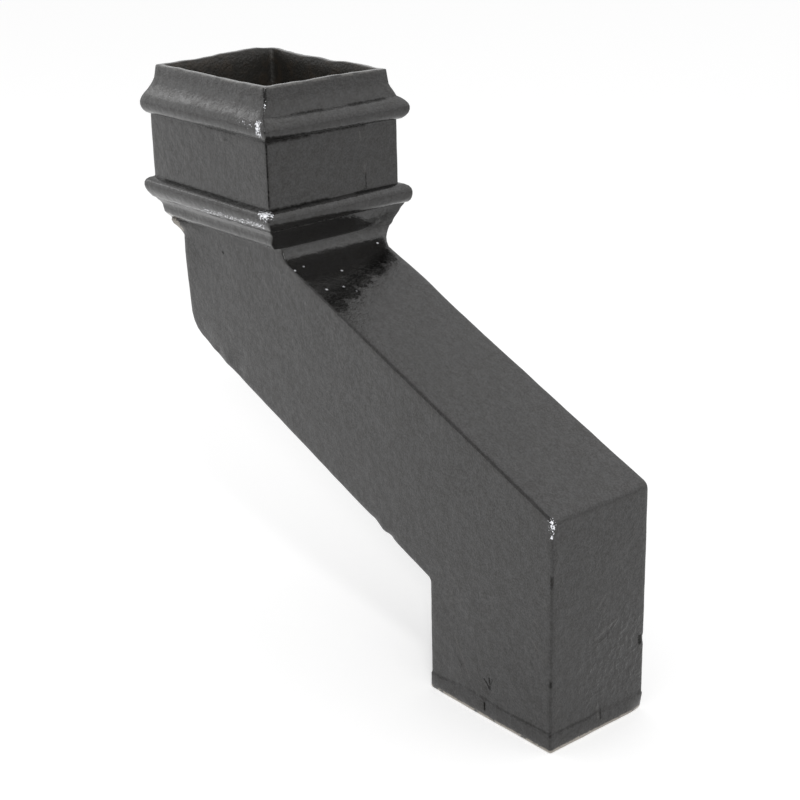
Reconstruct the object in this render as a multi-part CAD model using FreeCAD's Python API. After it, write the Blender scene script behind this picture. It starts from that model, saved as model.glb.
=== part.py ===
import FreeCAD, Part
import math
import os

from FreeCAD import Vector

# Downpipe offset, cast in one piece: a rectangular socket above, a sloping run,
# and a rectangular spigot below. Sizes are in millimetres and angles in degrees.
# The origin is the middle of the spigot's end face. +Z is up, and the socket
# stands to the -X side of the spigot.

# The pipe, measured outside, and its wall.
PIPE_WIDTH = 100.0
PIPE_DEPTH = 75.0
WALL = 5.0
PIPE_EDGE_RADIUS = 3.0

# The offset between the two legs, and the run that joins them.
OFFSET = 236.0
RUN_ANGLE = 22.5
RUN_THICKNESS = 102.8
HEEL_HEIGHT = 141.4
LOWER_HEEL_RADIUS = 5.0
UPPER_HEEL_RADIUS = 10.0
THROAT_RADIUS = 3.5

# The waterway that the core leaves inside.
CORE_BEND_RADIUS = 6.0
CORE_EDGE_RADIUS = 3.0

# The band round the spigot's end.
BAND_HEIGHT = 7.0
BAND_STAND = 0.8
BAND_EASE = 1.2

# The socket: its outer face stands this far outside the pipe's, and the pipe
# that enters it has this much room on each side.
SOCKET_STAND = 12.0
SOCKET_CLEARANCE = 4.0
SOCKET_DEPTH = 88.0
SOCKET_EDGE_RADIUS = 2.5

# The socket's mouldings, from the bottom up. Insets are measured in from the
# socket's face, and stands out from it.
COVE_HEIGHT = 4.5
COVE_HOLLOW = 0.9
NECK_HEIGHT = 5.0
NECK_INSET = 7.5
SPLAY_HEIGHT = 10.0
SPLAY_FOOT_INSET = 6.0
LOWER_BEAD_HEIGHT = 17.5
LOWER_BEAD_STAND = 6.0
FACE_HEIGHT = 36.5
UPPER_BEAD_HEIGHT = 14.0
UPPER_BEAD_STAND = 5.8
FLARE_HEIGHT = 10.0
FLARE_HOLLOW = 0.9
LIP_HEIGHT = 8.6
LIP_INSET = 3.75

# Each moulding starts with a small step, and its ends are rooted in the wall behind.
QUIRK = 0.4
ROOT = 1.2

# The fillet where the neck of the socket comes down on the run.
NECK_FILLET_RADIUS = 11.0
NECK_FILLET_INSET = 4.0

# How far hidden ends reach into each other, or out past a cut.
OVERLAP = 2.0


class Rectangle:
    """A rounded rectangle about a vertical axis, by its half sizes."""

    def __init__(self, centre_x, half_x, half_y, radius):
        self.centre_x = centre_x
        self.half_x = half_x
        self.half_y = half_y
        self.radius = radius

    def grown(self, margin, radius):
        return Rectangle(self.centre_x, self.half_x + margin, self.half_y + margin, radius)


def rounded_wire(points, radii):
    """A closed outline in the XZ plane, each corner turned by its own arc."""
    count = len(points)
    starts = []
    middles = []
    ends = []
    for index, corner in enumerate(points):
        back = (points[index - 1] - corner).normalize()
        ahead = (points[(index + 1) % count] - corner).normalize()
        half_angle = back.getAngle(ahead) / 2
        reach = radii[index] / math.tan(half_angle)
        bisector = (back + ahead).normalize()
        to_arc = radii[index] / math.sin(half_angle) - radii[index]
        starts.append(corner + back * reach)
        middles.append(corner + bisector * to_arc)
        ends.append(corner + ahead * reach)
    edges = []
    for index in range(count):
        if radii[index] > 0:
            edges.append(Part.Arc(starts[index], middles[index], ends[index]).toShape())
        edges.append(Part.makeLine(ends[index], starts[(index + 1) % count]))
    return Part.Wire(edges)


def run_top(x, inset=0.0):
    """Height of the run's upper face at x, or of a face that lies inset under it."""
    slope = math.radians(RUN_ANGLE)
    return HEEL_HEIGHT + (PIPE_WIDTH / 2 - x) * math.tan(slope) - inset / math.cos(slope)


def bent_duct(inset, bottom, top, bend_radii, edge_radius):
    """The two legs and the run as one bent bar, its faces inset from the pipe's."""
    half = PIPE_WIDTH / 2 - inset
    depth = PIPE_DEPTH - 2 * inset
    under = RUN_THICKNESS - inset
    leg_right = -OFFSET + half
    leg_left = -OFFSET - half
    points = [
        Vector(half, 0, bottom),
        Vector(half, 0, run_top(half, inset)),
        Vector(leg_right, 0, run_top(leg_right, inset)),
        Vector(leg_right, 0, top),
        Vector(leg_left, 0, top),
        Vector(leg_left, 0, run_top(leg_left, under)),
        Vector(-half, 0, run_top(-half, under)),
        Vector(-half, 0, bottom),
    ]
    lower_heel, upper_throat, upper_heel, lower_throat = bend_radii
    radii = [0, lower_heel, upper_throat, 0, 0, upper_heel, lower_throat, 0]
    outline = Part.Face(rounded_wire(points, radii))
    outline.translate(Vector(0, -depth / 2, 0))
    bar = outline.extrude(Vector(0, depth, 0))
    long_edges = []
    for edge in bar.Edges:
        box = edge.BoundBox
        lies_on_side = box.YLength < 1e-3
        is_level_end = box.ZLength < 1e-3
        if lies_on_side and not is_level_end:
            long_edges.append(edge)
    return bar.makeFillet(edge_radius, long_edges)


def side_curve(foot, head, bow):
    """One side of a moulding: straight, or an arc that bows out (or in, if negative)."""
    if bow == 0:
        return Part.makeLine(foot, head)
    chord = (head - foot).normalize()
    outward = Vector(chord.z, 0, -chord.x)
    return Part.Arc(foot, (foot + head) / 2 + outward * bow, head).toShape()


def moulded_block(rectangle, bottom, top, foot=0.0, head=0.0, bow=0.0):
    """A block with the same side all round, mitred and then eased at its corners.

    The side runs from foot to head, both measured out from the rectangle.
    """
    bars = []
    reach = rectangle.half_x + rectangle.half_y
    for half, turn in ((rectangle.half_x, 0), (rectangle.half_y, 90)):
        right = side_curve(Vector(half + foot, 0, bottom), Vector(half + head, 0, top), bow)
        left = right.mirror(Vector(0, 0, 0), Vector(1, 0, 0))
        floor = Part.makeLine(Vector(-half - foot, 0, bottom), Vector(half + foot, 0, bottom))
        roof = Part.makeLine(Vector(-half - head, 0, top), Vector(half + head, 0, top))
        face = Part.Face(Part.Wire(Part.sortEdges([floor, right, roof, left])[0]))
        face.translate(Vector(0, -reach, 0))
        bar = face.extrude(Vector(0, 2 * reach, 0))
        bar.rotate(Vector(0, 0, 0), Vector(0, 0, 1), turn)
        bars.append(bar)
    block = bars[0].common(bars[1])
    mitres = [edge for edge in block.Edges if edge.BoundBox.ZLength > 1e-3]
    block = block.makeFillet(rectangle.radius, mitres)
    block.translate(Vector(rectangle.centre_x, 0, 0))
    return block


# The heights of the socket's mouldings. The cove starts below the line where
# the run's upper face meets the upper leg.
leg_right_x = -OFFSET + PIPE_WIDTH / 2
neck_bottom = run_top(leg_right_x)
cove_bottom = neck_bottom - COVE_HEIGHT
splay_bottom = neck_bottom + NECK_HEIGHT
lower_bead_bottom = splay_bottom + SPLAY_HEIGHT
face_bottom = lower_bead_bottom + LOWER_BEAD_HEIGHT
face_top = face_bottom + FACE_HEIGHT
flare_bottom = face_top + UPPER_BEAD_HEIGHT
lip_bottom = flare_bottom + FLARE_HEIGHT
rim = lip_bottom + LIP_HEIGHT
seat = rim - SOCKET_DEPTH

# The outlines that the mouldings follow, all about the upper leg's axis.
leg = Rectangle(-OFFSET, PIPE_WIDTH / 2, PIPE_DEPTH / 2, PIPE_EDGE_RADIUS)
socket = leg.grown(SOCKET_STAND, SOCKET_EDGE_RADIUS)
neck = socket.grown(-NECK_INSET, PIPE_EDGE_RADIUS)
lip = socket.grown(-LIP_INSET, SOCKET_EDGE_RADIUS)
cavity = leg.grown(SOCKET_CLEARANCE, PIPE_EDGE_RADIUS)
spigot = Rectangle(0, PIPE_WIDTH / 2, PIPE_DEPTH / 2, PIPE_EDGE_RADIUS)


def bead(bottom, top, stand):
    return moulded_block(socket, bottom, top, -ROOT, -ROOT, stand + ROOT)


def socket_outside():
    """The socket as a solid block with its mouldings."""
    neck_stand = SOCKET_STAND - NECK_INSET
    splay_stand = NECK_INSET - SPLAY_FOOT_INSET
    pieces = [
        moulded_block(leg, cove_bottom, neck_bottom, -ROOT, neck_stand - QUIRK, -COVE_HOLLOW),
        moulded_block(neck, neck_bottom, lower_bead_bottom + OVERLAP),
        moulded_block(neck, splay_bottom, lower_bead_bottom, splay_stand, NECK_INSET - QUIRK),
        bead(lower_bead_bottom, face_bottom, LOWER_BEAD_STAND),
        moulded_block(socket, lower_bead_bottom, flare_bottom),
        bead(face_top, flare_bottom, UPPER_BEAD_STAND),
        moulded_block(lip, flare_bottom, lip_bottom, LIP_INSET - QUIRK, -ROOT, -FLARE_HOLLOW),
        moulded_block(lip, flare_bottom - OVERLAP, rim),
    ]
    return pieces[0].multiFuse(pieces[1:])


def neck_fillet():
    """The hollow fillet between the neck and the run's upper face."""
    slope = math.radians(RUN_ANGLE)
    face_x = neck.centre_x + neck.half_x
    corner = Vector(face_x, 0, run_top(face_x))
    up = Vector(0, 0, 1)
    down_run = Vector(math.cos(slope), 0, -math.sin(slope))
    half_angle = up.getAngle(down_run) / 2
    reach = NECK_FILLET_RADIUS / math.tan(half_angle)
    to_arc = NECK_FILLET_RADIUS / math.sin(half_angle) - NECK_FILLET_RADIUS
    bisector = (up + down_run).normalize()
    top = corner + up * reach
    foot = corner + down_run * reach
    middle = corner + bisector * to_arc
    buried = corner - bisector * OVERLAP
    edges = [
        Part.Arc(top, middle, foot).toShape(),
        Part.makeLine(foot, buried),
        Part.makeLine(buried, top),
    ]
    face = Part.Face(Part.Wire(edges))
    width = PIPE_DEPTH - 2 * NECK_FILLET_INSET
    face.translate(Vector(0, -width / 2, 0))
    return face.extrude(Vector(0, width, 0))


def spigot_band():
    """The low band round the spigot's end, eased at its lower edge."""
    outline = spigot.grown(BAND_STAND, PIPE_EDGE_RADIUS + BAND_STAND)
    block = moulded_block(outline, 0, BAND_HEIGHT)
    lower_edges = [edge for edge in block.Edges if edge.BoundBox.ZMax < 1e-3]
    return block.makeFillet(BAND_EASE, lower_edges)


def offset_casting():
    heels = (LOWER_HEEL_RADIUS, THROAT_RADIUS, UPPER_HEEL_RADIUS, THROAT_RADIUS)
    outside = bent_duct(0, BAND_HEIGHT / 2, lower_bead_bottom, heels, PIPE_EDGE_RADIUS)
    outside = outside.multiFuse([spigot_band(), neck_fillet(), socket_outside()])
    core_bends = (CORE_BEND_RADIUS,) * 4
    waterway = bent_duct(WALL, -OVERLAP, rim, core_bends, CORE_EDGE_RADIUS)
    mouth = moulded_block(cavity, seat, rim + OVERLAP)
    return outside.cut(waterway.fuse(mouth)).removeSplitter()


casting = offset_casting()
box = casting.BoundBox
print("solids", len(casting.Solids), "valid", casting.isValid())
print("x", round(box.XMin, 2), round(box.XMax, 2))
print("y", round(box.YMin, 2), round(box.YMax, 2))
print("z", round(box.ZMin, 2), round(box.ZMax, 2))
print("seat height", round(seat, 2), "rim", round(rim, 2))

os.makedirs("parts", exist_ok=True)
casting.Solids[0].exportStep("parts/offset_casting.step")
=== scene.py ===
import bpy
import bmesh
import math
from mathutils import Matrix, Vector, noise


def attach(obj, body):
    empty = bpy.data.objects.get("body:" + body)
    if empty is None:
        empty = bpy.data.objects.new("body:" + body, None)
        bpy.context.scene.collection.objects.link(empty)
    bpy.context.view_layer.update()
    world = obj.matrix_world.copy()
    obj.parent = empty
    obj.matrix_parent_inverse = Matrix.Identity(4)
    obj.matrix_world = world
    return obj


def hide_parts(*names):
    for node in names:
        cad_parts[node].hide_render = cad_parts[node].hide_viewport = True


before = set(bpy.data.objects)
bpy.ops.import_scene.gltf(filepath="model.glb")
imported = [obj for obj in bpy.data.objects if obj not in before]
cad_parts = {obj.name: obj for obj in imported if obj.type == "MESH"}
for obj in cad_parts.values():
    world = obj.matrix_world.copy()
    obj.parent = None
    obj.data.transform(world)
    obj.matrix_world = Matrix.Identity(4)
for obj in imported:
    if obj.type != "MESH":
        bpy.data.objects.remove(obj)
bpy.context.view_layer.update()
print("frame loaded")


# camera, at the place the photograph was taken from

camera = {
    "place": (0.6214, -0.6128, 0.5157),
    "turn": (69.328, 1.272, 49.854),  # degrees about x, y and z
    "lens": 76.48,
    "sensor": 36.0,
    "clipStart": 0.01,
}


def addCamera():
    bpy.ops.object.camera_add(location=camera["place"])
    eye = bpy.context.object
    eye.name = "camera"
    eye.rotation_euler = [math.radians(angle) for angle in camera["turn"]]
    eye.data.lens = camera["lens"]
    eye.data.sensor_width = camera["sensor"]
    eye.data.clip_start = camera["clipStart"]
    bpy.context.scene.camera = eye


addCamera()
bpy.context.scene.view_settings.view_transform = "Standard"
print("camera set")


# helpers for node trees: an input given as a socket is linked, any other value is written in

def setInputs(tree, node, inputs):
    for name, value in inputs.items():
        if isinstance(value, bpy.types.NodeSocket):
            tree.links.new(value, node.inputs[name])
        else:
            node.inputs[name].default_value = value


def addNode(tree, kind, inputs=None, **settings):
    node = tree.nodes.new(kind)
    for name, value in settings.items():
        setattr(node, name, value)
    setInputs(tree, node, inputs or {})
    return node


def calculate(tree, operation, first, second=0.0):
    node = addNode(tree, "ShaderNodeMath", {0: first, 1: second}, operation=operation)
    return node.outputs[0]


def plus(tree, first, second):
    return calculate(tree, "ADD", first, second)


def times(tree, first, second):
    return calculate(tree, "MULTIPLY", first, second)


def larger(tree, first, second):
    return calculate(tree, "MAXIMUM", first, second)


def fade(tree, value, low, high):  # 0 at low, 1 at high, smooth between
    node = addNode(tree, "ShaderNodeMapRange", {"Value": value, "From Min": low, "From Max": high},
                   interpolation_type="SMOOTHSTEP")
    return node.outputs["Result"]


def vectorMath(tree, operation, first, second=(0.0, 0.0, 0.0)):
    node = addNode(tree, "ShaderNodeVectorMath", {0: first, 1: second}, operation=operation)
    return node.outputs["Value" if operation in ("DOT_PRODUCT", "LENGTH", "DISTANCE") else "Vector"]


def scaledVector(tree, vector, factor):
    node = addNode(tree, "ShaderNodeVectorMath", {0: vector, "Scale": factor}, operation="SCALE")
    return node.outputs["Vector"]


def blendColour(tree, share, first, second):
    node = addNode(tree, "ShaderNodeMix", {"Factor": share, "A": first, "B": second}, data_type="RGBA")
    return node.outputs["Result"]


def newMaterial(name):
    material = bpy.data.materials.new(name)
    material.use_nodes = True
    tree = material.node_tree
    return material, tree, tree.nodes["Principled BSDF"]


# floor, surroundings and lamps

stage = {
    "floorSize": 30.0,
    "floorColour": (0.86, 0.86, 0.86, 1.0),
    "floorRoughness": 0.9,
    "floorLift": 0.34,         # only the camera and reflections see this, so the floor reads white
    "floorEnd": (0.75, 1.15),  # reflections see the floor fall away between these, towards the dark side
    "floorEndWay": (0.55, -0.83, 0.0),
    "floorEndColour": (0.02, 0.02, 0.02, 1.0),
    "floorGlow": 0.20,         # and lighter on the other side
    "floorGlowSpread": (-0.05, 0.20),
    "floorGlowWay": (-0.80, -0.60, 0.0),
    "lightColour": (1.0, 1.0, 1.0, 1.0),
    "skyLight": 0.72,          # light from all round
    "skySeen": 1.0,            # the same surroundings as the camera and reflections see them
    "darkWay": (0.30, -0.84, 0.45),  # the room's unlit side, as reflections see it
    "darkSpread": (0.30, 0.62),
    "darkDepth": 0.25,
    "glows": (                 # and its brightest parts: the way, the spread and the light added there
        ((0.22, 0.66, 0.71), (0.80, 0.99), 0.54),
        ((-0.80, -0.52, 0.30), (0.84, 0.99), 0.50),
        ((0.74, 0.58, 0.34), (0.86, 0.99), 0.35),
    ),
}


def addFloor():
    bpy.ops.mesh.primitive_plane_add(size=stage["floorSize"], location=(0, 0, 0))
    floor = bpy.context.object
    floor.name = "floor"
    material, tree, shader = newMaterial("paleFloor")
    path = addNode(tree, "ShaderNodeLightPath").outputs
    place = addNode(tree, "ShaderNodeTexCoord").outputs["Object"]
    away = vectorMath(tree, "DOT_PRODUCT", place, stage["floorEndWay"])
    ends = times(tree, fade(tree, away, *stage["floorEnd"]), path["Is Glossy Ray"])
    seen = larger(tree, path["Is Camera Ray"], path["Is Glossy Ray"])
    lift = times(tree, seen, calculate(tree, "SUBTRACT", 1.0, ends))
    lift = times(tree, lift, stage["floorLift"])
    towards = vectorMath(tree, "DOT_PRODUCT", place, stage["floorGlowWay"])
    lit = times(tree, fade(tree, towards, *stage["floorGlowSpread"]), path["Is Glossy Ray"])
    lift = plus(tree, lift, times(tree, lit, stage["floorGlow"]))
    setInputs(tree, shader, {
        "Base Color": blendColour(tree, ends, stage["floorColour"], stage["floorEndColour"]),
        "Roughness": stage["floorRoughness"], "Specular IOR Level": 0.0,
        "Emission Color": stage["lightColour"], "Emission Strength": lift})
    floor.data.materials.append(material)


def addSurroundings():
    world = bpy.data.worlds.new("surroundings")
    bpy.context.scene.world = world
    world.use_nodes = True
    tree = world.node_tree
    path = addNode(tree, "ShaderNodeLightPath").outputs
    way = addNode(tree, "ShaderNodeTexCoord").outputs["Generated"]
    seenMore = stage["skySeen"] - stage["skyLight"]
    dark = fade(tree, vectorMath(tree, "DOT_PRODUCT", way, stage["darkWay"]), *stage["darkSpread"])
    mirrored = calculate(tree, "SUBTRACT", seenMore, times(tree, dark, stage["darkDepth"]))
    for glowWay, spread, added in stage["glows"]:
        glow = fade(tree, vectorMath(tree, "DOT_PRODUCT", way, glowWay), *spread)
        mirrored = plus(tree, mirrored, times(tree, glow, added))
    direct = times(tree, path["Is Camera Ray"], seenMore)
    extra = plus(tree, direct, times(tree, path["Is Glossy Ray"], mirrored))
    strength = plus(tree, extra, stage["skyLight"])
    setInputs(tree, tree.nodes["Background"], {"Color": stage["lightColour"], "Strength": strength})


lamps = {
    "keyLamp": {"place": (1.9, -1.7, 1.5), "size": 0.3, "power": 16.0},
    "topLamp": {"place": (1.0, -0.75, 1.75), "size": 0.25, "power": 6.0},
    "sideLamp": {"place": (-1.88, -0.74, 1.20), "size": 0.35, "power": 0.9},
}
lampTarget = Vector((-0.12, 0, 0.17))


def addLamps():
    for name, lamp in lamps.items():
        bpy.ops.object.light_add(type="AREA", location=lamp["place"])
        light = bpy.context.object
        light.name = name
        light.data.size = lamp["size"]
        light.data.energy = lamp["power"]
        towards = lampTarget - Vector(lamp["place"])
        light.rotation_euler = towards.to_track_quat("-Z", "Y").to_euler()


addFloor()
addSurroundings()
addLamps()
print("stage lit")


# the casting, drawn as one skin of rings: up the outside, over the rim and down the waterway

casting = {
    "pipeWidth": 0.0994,
    "pipeDepth": 0.0744,
    "wall": 0.005,
    "edgeRadius": 0.003,
    "pipeRadius": 0.0015,      # the outside edges of the legs and the run
    "socketRadius": 0.0009,
    "edgeSteps": 4,
    "cell": 0.0024,            # mesh cell outside
    "coreCell": 0.008,         # and along the waterway
    "offset": 0.236,
    "runAngle": math.radians(22.5),
    "runThickness": 0.1028,
    "heelHeight": 0.1411,
    "lowerHeelRadius": 0.005,
    "upperHeelRadius": 0.024,
    "throatRadius": 0.0035,
    "coreBendRadius": 0.006,
    "bendSteps": 5,
    "bandHeight": 0.0108,
    "bandStand": 0.0004,
    "bandEase": 0.0014,
    "bandFoot": ((0.6, 0.0), (0.2, 0.35), (0.0, 1.0)),  # its eased edge: shares of the ease, in and up
    "bandTop": (0.6, 0.3),     # halfway round its upper edge: a share of the stand, and of the ease down
    "socketStand": 0.0123,
    "socketClearance": 0.0043,
    "socketDepth": 0.088,
    "ledgeHeight": 0.2425,     # where the socket's lowest moulding starts, over the leg
    "apronFoot": -0.0066,
    "neckFilletRadius": 0.011,
    "neckShares": (0.18, 0.36, 0.54, 0.72, 0.9),  # where the neck's rings lie between the leg and the ledge
    "legTopGap": 0.0002,       # the leg's last ring lies this far under the run's face at the neck's hollow
    "cutBendStart": 0.94,      # where the top cuts the run short, its last rings start this far up it
    "lip": (-0.00375, 0.34075),  # the rim's stand from the plain face, and its height
    "lipEase": 0.0008,
    "lipCuts": 4,
    "easeMiddle": 0.3,         # how far in from its tip the middle of an eased corner lies, over the ease
    "insideEase": 0.001,       # the small bevels at the seat and at both ends of the waterway
    "boreTopGap": 0.004,       # how far under the seat the rings of the waterway's leg end
    "leastTurn": 1e-5,         # rings that tilt less than this aren't turned
    "flarePower": 3,           # how closely the neck's front hollow keeps to the left end
    "cornerPower": 8,          # how sharply the heights of two sides meet at the socket's corners
    "plainFaceFoot": 20,       # the station where each profile's plain face starts
    "faceCuts": 16,
    "rimFade": 0.012,          # how far down the rim is lifted
    "rimWander": ((130, 0.0004), (45, 0.0003)),  # its small waves: how many to a metre, and how high
    "skinDetail": 2,           # how many finer layers the wander of the cast surface has
    "skinMiddle": 0.5,         # and its value that moves nothing
    "lumpEnd": 2.5,            # a lump moves no point further off than this many reaches
    "smoothAngle": math.radians(38),
}


def runTop(x, inset=0.0):  # height of the run's upper face at x, or of a face inset under it
    c = casting
    fall = (c["pipeWidth"] / 2 - x) * math.tan(c["runAngle"])
    return c["heelHeight"] + fall - inset / math.cos(c["runAngle"])


def bendPoints(corner, before, after, radius, steps):  # a corner between two directions, rounded
    back = (before - corner).normalized()
    ahead = (after - corner).normalized()
    halfAngle = back.angle(ahead) / 2
    reach = radius / math.tan(halfAngle)
    centre = corner + (back + ahead).normalized() * (radius / math.sin(halfAngle))
    start = corner + back * reach - centre
    end = corner + ahead * reach - centre
    points = []
    for step in range(steps + 1):
        share = step / steps
        points.append(centre + start.slerp(end, share) * radius)
    return points


def socketRing(stand, z, cuts=0):  # a level ring round the socket, stand being measured from its face
    c = casting
    halfX = c["pipeWidth"] / 2 + c["socketStand"] + stand
    halfY = c["pipeDepth"] / 2 + c["socketStand"] + stand
    left = Vector((-c["offset"] - halfX, z))
    right = Vector((-c["offset"] + halfX, z))
    return left, right, halfY, cuts


def spigotRing(stand, z, cuts=0):  # the same round the spigot, measured from the pipe's face
    c = casting
    halfX = c["pipeWidth"] / 2 + stand
    return Vector((-halfX, z)), Vector((halfX, z)), c["pipeDepth"] / 2 + stand, cuts


def ductRings(inset, bottom, top, heelRadii, throatRadius, cell):
    # the legs and the run from the level bottom up to the level top, their faces inset from the pipe's
    c = casting
    halfX = c["pipeWidth"] / 2 - inset
    halfY = c["pipeDepth"] / 2 - inset
    under = c["runThickness"] - inset
    legLeft = -c["offset"] - halfX
    legRight = -c["offset"] + halfX
    heel = Vector((halfX, runTop(halfX, inset)))
    throat = Vector((-halfX, runTop(-halfX, under)))
    upperHeel = Vector((legLeft, runTop(legLeft, under)))
    upperThroat = Vector((legRight, runTop(legRight, inset)))
    lowerLeft = bendPoints(throat, Vector((-halfX, bottom)), upperHeel, throatRadius, c["bendSteps"])
    lowerRight = bendPoints(heel, Vector((halfX, bottom)), upperThroat, heelRadii[0], c["bendSteps"])
    upperLeft = bendPoints(upperHeel, throat, Vector((legLeft, top)), heelRadii[1], c["bendSteps"])
    if top > upperThroat.y:
        upperRight = bendPoints(upperThroat, heel, Vector((legRight, top)), throatRadius, c["bendSteps"])
        topRight = Vector((legRight, top))
    else:  # the top cuts the run's upper face before it reaches the leg
        topRight = Vector((c["pipeWidth"] / 2 - (top - c["heelHeight"]) / math.tan(c["runAngle"]), top))
        start = heel.lerp(topRight, c["cutBendStart"])
        shares = [step / c["bendSteps"] / 2 for step in range(c["bendSteps"] + 1)]
        upperRight = [start.lerp(topRight, share) for share in shares]

    def cutsFor(fromPoint, toPoint):
        return max(0, round((toPoint - fromPoint).length / cell) - 1)

    bottomRight = Vector((halfX, bottom))
    rings = []
    for step in range(c["bendSteps"] + 1):
        cuts = cutsFor(bottomRight, lowerRight[0]) if step == 0 else 0
        rings.append((lowerLeft[step], lowerRight[step], halfY, cuts))
    for step in range(c["bendSteps"] + 1):
        cuts = cutsFor(lowerLeft[-1], upperLeft[0]) if step == 0 else 0
        rings.append((upperLeft[step], upperRight[step], halfY, cuts))
    rings.append((Vector((legLeft, top)), topRight, halfY, cutsFor(upperLeft[-1], Vector((legLeft, top)))))
    return rings


def outsideRings():
    c = casting
    ease = c["bandEase"]
    stand = c["bandStand"]
    band = c["bandHeight"]
    topStand, topDrop = c["bandTop"]
    rings = [spigotRing(stand - ease * inward, ease * up) for inward, up in c["bandFoot"]]
    rings += [spigotRing(stand, band - ease, 1), spigotRing(stand * topStand, band - ease * topDrop),
              spigotRing(0.0, band)]
    heels = (c["lowerHeelRadius"], c["upperHeelRadius"])
    legTop = runTop(neckFilletCentre().x) - c["legTopGap"]
    rings += ductRings(0.0, band, legTop, heels, c["throatRadius"], c["cell"])
    return rings + neckRings(legTop) + mouldingRings() + insideRings()


def neckFilletCentre():  # the middle of the hollow between the neck and the run's upper face
    c = casting
    faceX = -c["offset"] + c["pipeWidth"] / 2 + c["socketStand"] + c["apronFoot"]
    corner = Vector((faceX, runTop(faceX)))
    down = Vector((math.cos(c["runAngle"]), -math.sin(c["runAngle"])))
    up = Vector((0, 1))
    halfAngle = up.angle(down) / 2
    return corner + (up + down).normalized() * (c["neckFilletRadius"] / math.sin(halfAngle))


def neckFilletX(z):  # where that hollow's surface stands at a height
    centre = neckFilletCentre()
    radius = casting["neckFilletRadius"]
    drop = min(0.0, z - centre.y)
    return centre.x - math.sqrt(max(0.0, radius ** 2 - drop ** 2))


def neckRings(legTop):  # the leg goes up straight on three sides, and hollows out over the run
    c = casting
    rings = []
    ledge = c["ledgeHeight"]
    for share in c["neckShares"]:
        z = legTop + (ledge - legTop) * share
        left, right, halfY, _ = socketRing(-c["socketStand"], z)
        rings.append((left, Vector((neckFilletX(z), z)), halfY, 0))
    return rings


profiles = {  # each side's outline up the socket, in mm: its stand from the plain face, and the height
    "right": ((-6.6, 242.0), (-6.5, 242.8), (-6.3, 243.7), (-5.2, 245.9), (-3.9, 248.3), (-2.7, 250.7),
              (-1.6, 252.7), (-1.1, 253.9), (-0.6, 255.2), (-0.2, 256.5), (2.6, 257.2), (4.4, 258.6),
              (5.5, 260.4), (6.0, 262.3), (6.1, 264.2), (5.7, 266.1), (4.5, 267.7), (2.6, 268.8),
              (0.0, 269.3), (-0.1, 270.0), (0.0, 271.3), (0.0, 308.6), (-0.2, 309.7), (2.4, 310.3),
              (4.2, 311.7), (5.4, 313.5), (5.9, 315.4), (5.9, 317.3), (5.3, 319.2), (4.0, 321.0),
              (2.2, 322.5), (0.0, 323.4), (-0.5, 325.0), (-1.3, 327.2), (-2.1, 329.2), (-2.8, 331.2)),
    "back": ((-0.2, 243.0), (0.4, 243.8), (0.7, 244.8), (1.0, 246.4), (2.0, 248.6), (2.9, 250.6),
             (3.0, 252.4), (3.7, 253.6), (5.0, 254.8), (5.6, 255.8), (6.3, 256.9), (6.6, 258.4),
             (6.8, 260.2), (6.9, 262.1), (6.8, 264.0), (6.3, 265.9), (5.2, 267.5), (3.2, 268.7),
             (0.3, 269.2), (0.1, 270.2), (0.1, 271.6), (0.1, 307.9), (0.3, 308.4), (2.4, 309.3),
             (4.2, 310.9), (5.5, 312.8), (6.2, 315.0), (6.2, 317.2), (5.6, 319.0), (4.2, 320.8),
             (2.4, 322.4), (0.6, 323.8), (-0.1, 325.4), (-1.1, 327.2), (-2.2, 329.2), (-2.9, 331.2)),
    "front": ((-11.6, 243.2), (-6.9, 243.4), (-6.2, 244.1), (-4.6, 245.4), (-3.1, 247.2), (-2.8, 249.9),
              (-2.5, 252.4), (-1.7, 253.7), (-0.6, 255.0), (0.2, 256.4), (1.9, 257.1), (3.0, 258.7),
              (4.2, 260.6), (5.0, 262.6), (5.3, 264.6), (5.1, 266.5), (4.2, 267.9), (2.6, 268.8),
              (0.0, 269.1), (-0.1, 269.8), (0.0, 271.0), (0.0, 309.6), (-0.2, 310.6), (1.9, 311.5),
              (3.3, 312.8), (4.2, 314.4), (4.6, 316.2), (4.6, 318.1), (4.1, 320.0), (3.3, 321.8),
              (2.2, 323.6), (0.9, 325.4), (-0.1, 327.1), (-1.1, 328.9), (-2.0, 330.9), (-2.7, 333.0)),
    "left": ((-5.8, 242.3), (-5.5, 242.9), (-5.0, 244.0), (-4.5, 245.6), (-3.6, 247.4), (-3.0, 249.8),
             (-2.4, 252.4), (-1.5, 254.0), (-0.3, 255.2), (0.8, 256.3), (1.9, 257.3), (2.9, 258.9),
             (3.9, 260.7), (4.7, 262.6), (5.1, 264.6), (5.0, 266.4), (4.5, 268.0), (3.4, 269.4),
             (1.2, 270.7), (0.2, 271.8), (0.0, 273.0), (0.0, 308.3), (0.1, 309.3), (1.7, 310.6),
             (2.9, 312.2), (3.8, 314.2), (4.2, 316.2), (4.2, 318.2), (3.8, 320.1), (3.1, 321.9),
             (2.1, 323.7), (0.8, 325.5), (-0.1, 327.1), (-1.0, 328.8), (-1.9, 330.9), (-2.7, 333.0)),
}
neckStands = {  # the same for the hollows under the mouldings, measured from the leg's face, from below
    "back": (0.0, 2.4, 4.6, 6.7, 8.6, 10.4),
    "left": (0.6, 1.4, 2.5, 3.8, 5.2, 6.0),
    "front": (0.5, 1.2, 2.1, 3.2, 4.4, 4.8),       # this one only towards the left end
}


def metres(millimetres):
    return millimetres / 1000


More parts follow.
